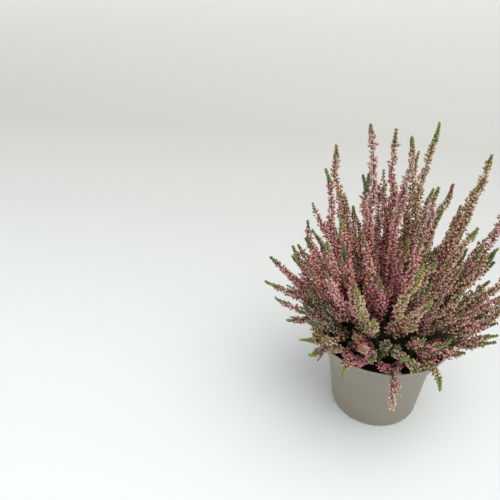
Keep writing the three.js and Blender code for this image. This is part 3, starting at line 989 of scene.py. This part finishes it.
def grow_twigs(plant, stalk, colours, low, high):
    """Short twigs all up a spire, shorter and paler with height. Some bear leaves instead of
    buds, twice the leafy share at its foot and none at its tip."""
    draws, tip_from = plant.draws, stalk.length - stalk.tip
    for number, along in enumerate(rough_steps(draws, low, tip_from, twig_gap)):
        fade = (along - low) / max(1.0, high - low)
        length = max(short_twig, long_twig - twig_fade * fade) * draws.uniform(*twig_sizes)
        length *= stalk.fullness
        angle = stalk.twist + golden * number + draws.uniform(-twig_aside, twig_aside)
        twig = side_stalk(stalk, along, angle, length, draws.uniform(0, twig_lift),
                          draws.uniform(*twig_spreads))
        if length > bare_twig:
            plant.stalks.append((twig, *twig_tube))
        if draws.uniform() < 2 * plant.leafy * (tip_from - along) / (tip_from - low):
            grow_leaves(plant, twig, twig_bare, length + twig_leaves_past, old_greens, **twig_leaves)
        else:
            pale = twig_paling * (along - low) / (tip_from - low)
            grow_buds(plant, twig, twig_bare, length + twig_buds_past, colours,
                      paling=(pale, pale + twig_paling_step), **twig_buds)


def grow_spurs(plant, stalk, colours, tip_colours, low, high):
    """A few longer side spires, each with a leafy tip of its own."""
    draws = plant.draws
    for along in draws.uniform(low, high, spurs_outside if plant.level else spurs_inside):
        length = draws.uniform(*spur_lengths) * (outer_spur if plant.level else 1)
        length = min(length, spur_room * (stalk.length - along))
        spur = side_stalk(stalk, along, draws.uniform(0, math.tau), length,
                          draws.uniform(0, spur_lift), draws.uniform(*spur_spreads), spur_settle)
        plant.stalks.append((spur, *spur_tube))
        grow_buds(plant, spur, spur_bare, length - spur_buds_to, colours, **spur_buds)
        grow_leaves(plant, spur, length - spur_tip, length + tip_past, tip_colours,
                    **spur_tip_leaves)


def grow_flowering(plant, stalks, shades, tips):
    """The buds of one spray: on the upper part of its spires, and on all their twigs and spurs."""
    for number, stalk in enumerate(stalks):
        colours = families[shades[min(number, len(shades) - 1)]]
        tip_from = stalk.length - stalk.tip
        flowering = tip_from - stalk.buds_from
        low = max(stalk.buds_from - twigs_before, stalk.start + past_fork)
        high = stalk.buds_from + flowering * (full_outside if plant.level else full_inside)
        grow_buds(plant, stalk, high - spire_buds_before, tip_from + spire_buds_past, colours,
                  **spire_buds)
        grow_twigs(plant, stalk, colours, low, high)
        grow_spurs(plant, stalk, colours, tips[number], low, stalk.buds_from + spurs_up_to * flowering)


# ---------------------------------------- sprays
# One spray for each stem that flowers. Each grew as one: a stem with its side spires, the short
# twigs and leaves on them, and the buds. The colour of each is its own, from wine to olive.
spire_shades = [  # by spray, a family for each of its spires, and the last for all that follow
    "blush",
    "turning tan", "rouge blush", "blush rouge", "rose magenta", "blush tan",
    "turning tan", "olive", "rose dusk", "rose tan", "tan rose", "coral", "rouge magenta", "rose tan",
    "tan turning",
    "blush dusk", "dusk turning", "rose dusk tan", "tan rose", "rose pink rose", "pink rose", "coral",
    "rouge pink", "olive turning rose", "turning tan", "dusk tan rose", "tan rose",
    "tan rose olive", "rose blush", "dusk tan", "tan rose", "rose dusk", "olive tan", "pink rose",
    "rose dusk pink", "shade dusk shade", "shade tan olive", "coral pink coral", "shade olive shade",
    "rouge pink rose", "rose tan dusk",
    "tan pink", "rose", "tan rose", "dusk rose", "rose", "pink rose", "pink rose", "tan blush",
    "coral", "ivory", "olive", "tan blush",
]
tip_pairs = {
    "green": ("#77804c", "#86955a"), "olive": ("#85784f", "#928a56"), "dark": ("#56644a", "#66744a"),
    "tan": ("#8d7058", "#97825a"), "lime": ("#7f8c4c", "#9aaa5c"), "cream": ("#c8a08c", "#dcc4ae"),
    "rosy": ("#9a6a50", "#b8625c"), "sunny": ("#8f8a48", "#a8a455"),
}
common_tips = "dark", "green", "lime", "olive", "tan"
spray_tips = {0: "olive", 1: "lime", 2: "olive", 3: "tan", 6: "olive", 7: "rosy", 9: "dark",
              10: "olive", 13: "olive", 14: "lime", 16: "dark", 17: "green", 23: "sunny",
              24: "sunny", 39: "green", 50: "cream", 51: "lime"}
short_tips = {50: 2}
# The flowering foot shoots of the outer sprays: how many, the longest, and their family.
usual_feet = 3, 28
spray_feet = {35: (5, 34, "shade"), 38: (0, 24, "rouge"), 39: (0, 26, "rose"), 46: (5, 34, "pink"),
              47: (8, 38, "pink"), 48: (9, 38, "olive"), 49: (6, 26, "pink"),
              50: (6, 26, "magenta"), 51: (6, 30, "coral"), 52: (4, 34, "pink")}
usual_leafy, level_from = 0.04, 40
leafy_twigs = {22: 0.1, 23: 0.1, 24: 0.2, 25: 0.4, 26: 0.2, 35: 0.3, 36: 0.5, 38: 1.2, 39: 0.65,
               40: 0.6, 48: 0.2, 50: 0.5, 51: 0.4, 52: 0.5}
spray_seed = 1000

stems = [(ring, index) for ring in rings for index in range(len(ring["lengths"]))]
for number, (ring, index) in enumerate(stems):
    name = f"spray_{number:02d}"
    spray = Growth(spray_seed, number, level=ring["lean"] > level_from,
                   leafy=leafy_twigs.get(number, usual_leafy))
    stalks = [spire_stalk(spire, spray.draws) for spire in spray_plan(ring, index)]
    tips = [tip_pairs[common_tips[spray.draws.randint(len(common_tips))]] for _ in stalks]
    if number in spray_tips:
        tips[0] = tip_pairs[spray_tips[number]]
    stalks[0].tip = short_tips.get(number, stalks[0].tip)
    grow_foliage(spray, stalks, tips)
    shades = spire_shades[number].split()
    if spray.level:
        foot_flowers(spray, stalks[0], *spray_feet.get(number, (*usual_feet, shades[0])))
    grow_flowering(spray, stalks, shades, tips)
    add_stalks(spray, bark_red)
    hand_over(spray.foliage.piece(name + "_stems"), [bark_material, leaf_material], "foliage", name)
    hand_over(spray.flowers.piece(name + "_buds"), [bud_material, bract_material], "buds", name)


# ---------------------------------------- shoots
# Young green shoots without buds, low between the sprays: a thin stem set all round with side
# shoots of fresh scale leaves.
young_tube, young_share = (1.0, 0.35), 0.6
young_leaves = dict(pitch=1.5, splay=40, length=2.6, slim=0.2)
young_side_leaves = dict(pitch=1.2, splay=34, length=2.3, slim=0.3)
young_sides_from, young_sides_to, young_side_gap, young_side_lengths = 6, 8, 3.2, (8, 15)
young_bare, young_past = 4, 0.4
shoot_seed = 2000

for index, (turn, lean, length) in enumerate(shoots):
    name = f"leafy_shoot_{index}"
    plan = dict(lean=lean, turn=turn, droop=0, length=length, sway=0, lean_away=0, turn_away=0,
                fork=None, twist=between(0, 90))
    young = Growth(shoot_seed, index)
    stalk = spire_stalk(plan, young.draws)
    young.stalks.append((stalk, *young_tube))
    grow_leaves(young, stalk, young_bare, length + young_past, young_greens, **young_leaves)
    places = rough_steps(young.draws, young_sides_from, length - young_sides_to, young_side_gap)
    for number, along in enumerate(places):
        side_length = young.draws.uniform(*young_side_lengths)
        side = side_stalk(stalk, along, golden * number, side_length, shoot_lift)
        young.stalks.append((side, *shoot_tube))
        grow_leaves(young, side, shoot_bare, side_length, young_greens, **young_side_leaves)
    add_stalks(young, mid_green, young_share)
    hand_over(young.foliage.piece(name + "_leaves"), [bark_material, leaf_material], "foliage", name)


# ---------------------------------------- room
# A pale floor that turns up into a wall, with painted shade on the floor behind the pot, soft
# light from above and the right, and the camera that looks down on the pot from in front.
half_width = 6.0
room_line = (-2.0, 0), (2.4, 0), (2.55, 0.03), (2.65, 0.12), (2.7, 0.28), (2.7, 3.0)
# The floor's painted shade: where it runs along y, and its tone at each share of the way.
paint_near, paint_far, room_crease = -0.2, 2.8, 60
painted_shade_stops = ((0.0, (0.86, 0.90, 0.90, 1)), (0.05, (0.82, 0.865, 0.855, 1)),
               (0.167, (0.69, 0.70, 0.675, 1)), (0.297, (0.616, 0.614, 0.58, 1)),
               (0.523, (0.715, 0.71, 0.68, 1)), (0.92, (0.90, 0.895, 0.85, 1)))
lamp_place, lamp_target = Vector((0.5, -0.2, 1.9)), Vector((0, 0, 0.1))
sun_way = Vector((-0.45, 0.15, -1.0))
sky_colour, sky_strength = (0.93, 0.95, 0.97, 1), 0.66
camera_place, camera_lens, camera_sensor, camera_near = (0, -0.3940, 0.4409), 37.69, 36.0, 0.01
look_left, look_down, roll = math.radians(18.43), math.radians(34.01), math.radians(-2.33)


def paint():
    """Matt and pale, with painted shade: lightest at the front of the floor, darkest some way behind
    the pot, and light again towards the wall.
    """
    material, tree, shader = new_material("pale_paint_with_painted_shade")
    place = new_node(tree, "SeparateXYZ", Vector=object_place(tree)).outputs
    away = new_node(tree, "MapRange", Value=place["Y"], From_Min=paint_near, From_Max=paint_far)
    fed(tree, shader, Base_Color=ramp(tree, away.outputs["Result"], *painted_shade_stops), Roughness=0.6)
    return material


def add_light(name, kind, place, way, **settings):
    """A light at a place that shines along a way."""
    light = bpy.data.lights.new(name, kind)
    for setting, value in settings.items():
        setattr(light, setting, value)
    holder = bpy.data.objects.new(name, light)
    holder.location = place
    holder.rotation_euler = way.to_track_quat("-Z", "Y").to_euler()
    bpy.context.scene.collection.objects.link(holder)


sweep = bmesh.new()
floor_line = [sweep.verts.new((-half_width, y, z)) for y, z in room_line]
floor_edges = [sweep.edges.new(pair) for pair in zip(floor_line, floor_line[1:])]
stretched = bmesh.ops.extrude_edge_only(sweep, edges=floor_edges)["geom"]
bmesh.ops.translate(sweep, verts=[v for v in stretched if isinstance(v, bmesh.types.BMVert)],
                    vec=(2 * half_width, 0, 0))
bmesh.ops.recalc_face_normals(sweep, faces=sweep.faces)
sweep_mesh = bpy.data.meshes.new("room")
sweep.to_mesh(sweep_mesh)
sweep.free()
sweep_mesh.materials.append(paint())
smooth_shaded(sweep_mesh, room_crease)
room = bpy.data.objects.new("room", sweep_mesh)
bpy.context.scene.collection.objects.link(room)

add_light("ceiling_light", "AREA", lamp_place, lamp_target - lamp_place, shape="DISK", size=1.6,
          energy=10, color=(1.0, 0.99, 0.97))
add_light("daylight", "SUN", (0, 0, 0), sun_way, energy=1.05, angle=math.radians(70),
          color=(1.0, 0.995, 0.98))
world = bpy.data.worlds.new("soft_room_light")
bpy.context.scene.world = world
world.use_nodes = True
fed(world.node_tree, world.node_tree.nodes["Background"], Color=sky_colour, Strength=sky_strength)
bpy.context.scene.view_settings.view_transform = "Standard"

camera = bpy.data.objects.new("camera", bpy.data.cameras.new("camera"))
camera.data.sensor_width, camera.data.lens = camera_sensor, camera_lens
camera.data.clip_start = camera_near
turned = Matrix.Rotation(look_left, 4, "Z") @ Matrix.Rotation(math.pi / 2 - look_down, 4, "X")
camera.matrix_world = Matrix.Translation(camera_place) @ turned @ Matrix.Rotation(roll, 4, "Z")
bpy.context.scene.collection.objects.link(camera)
bpy.context.scene.camera = camera
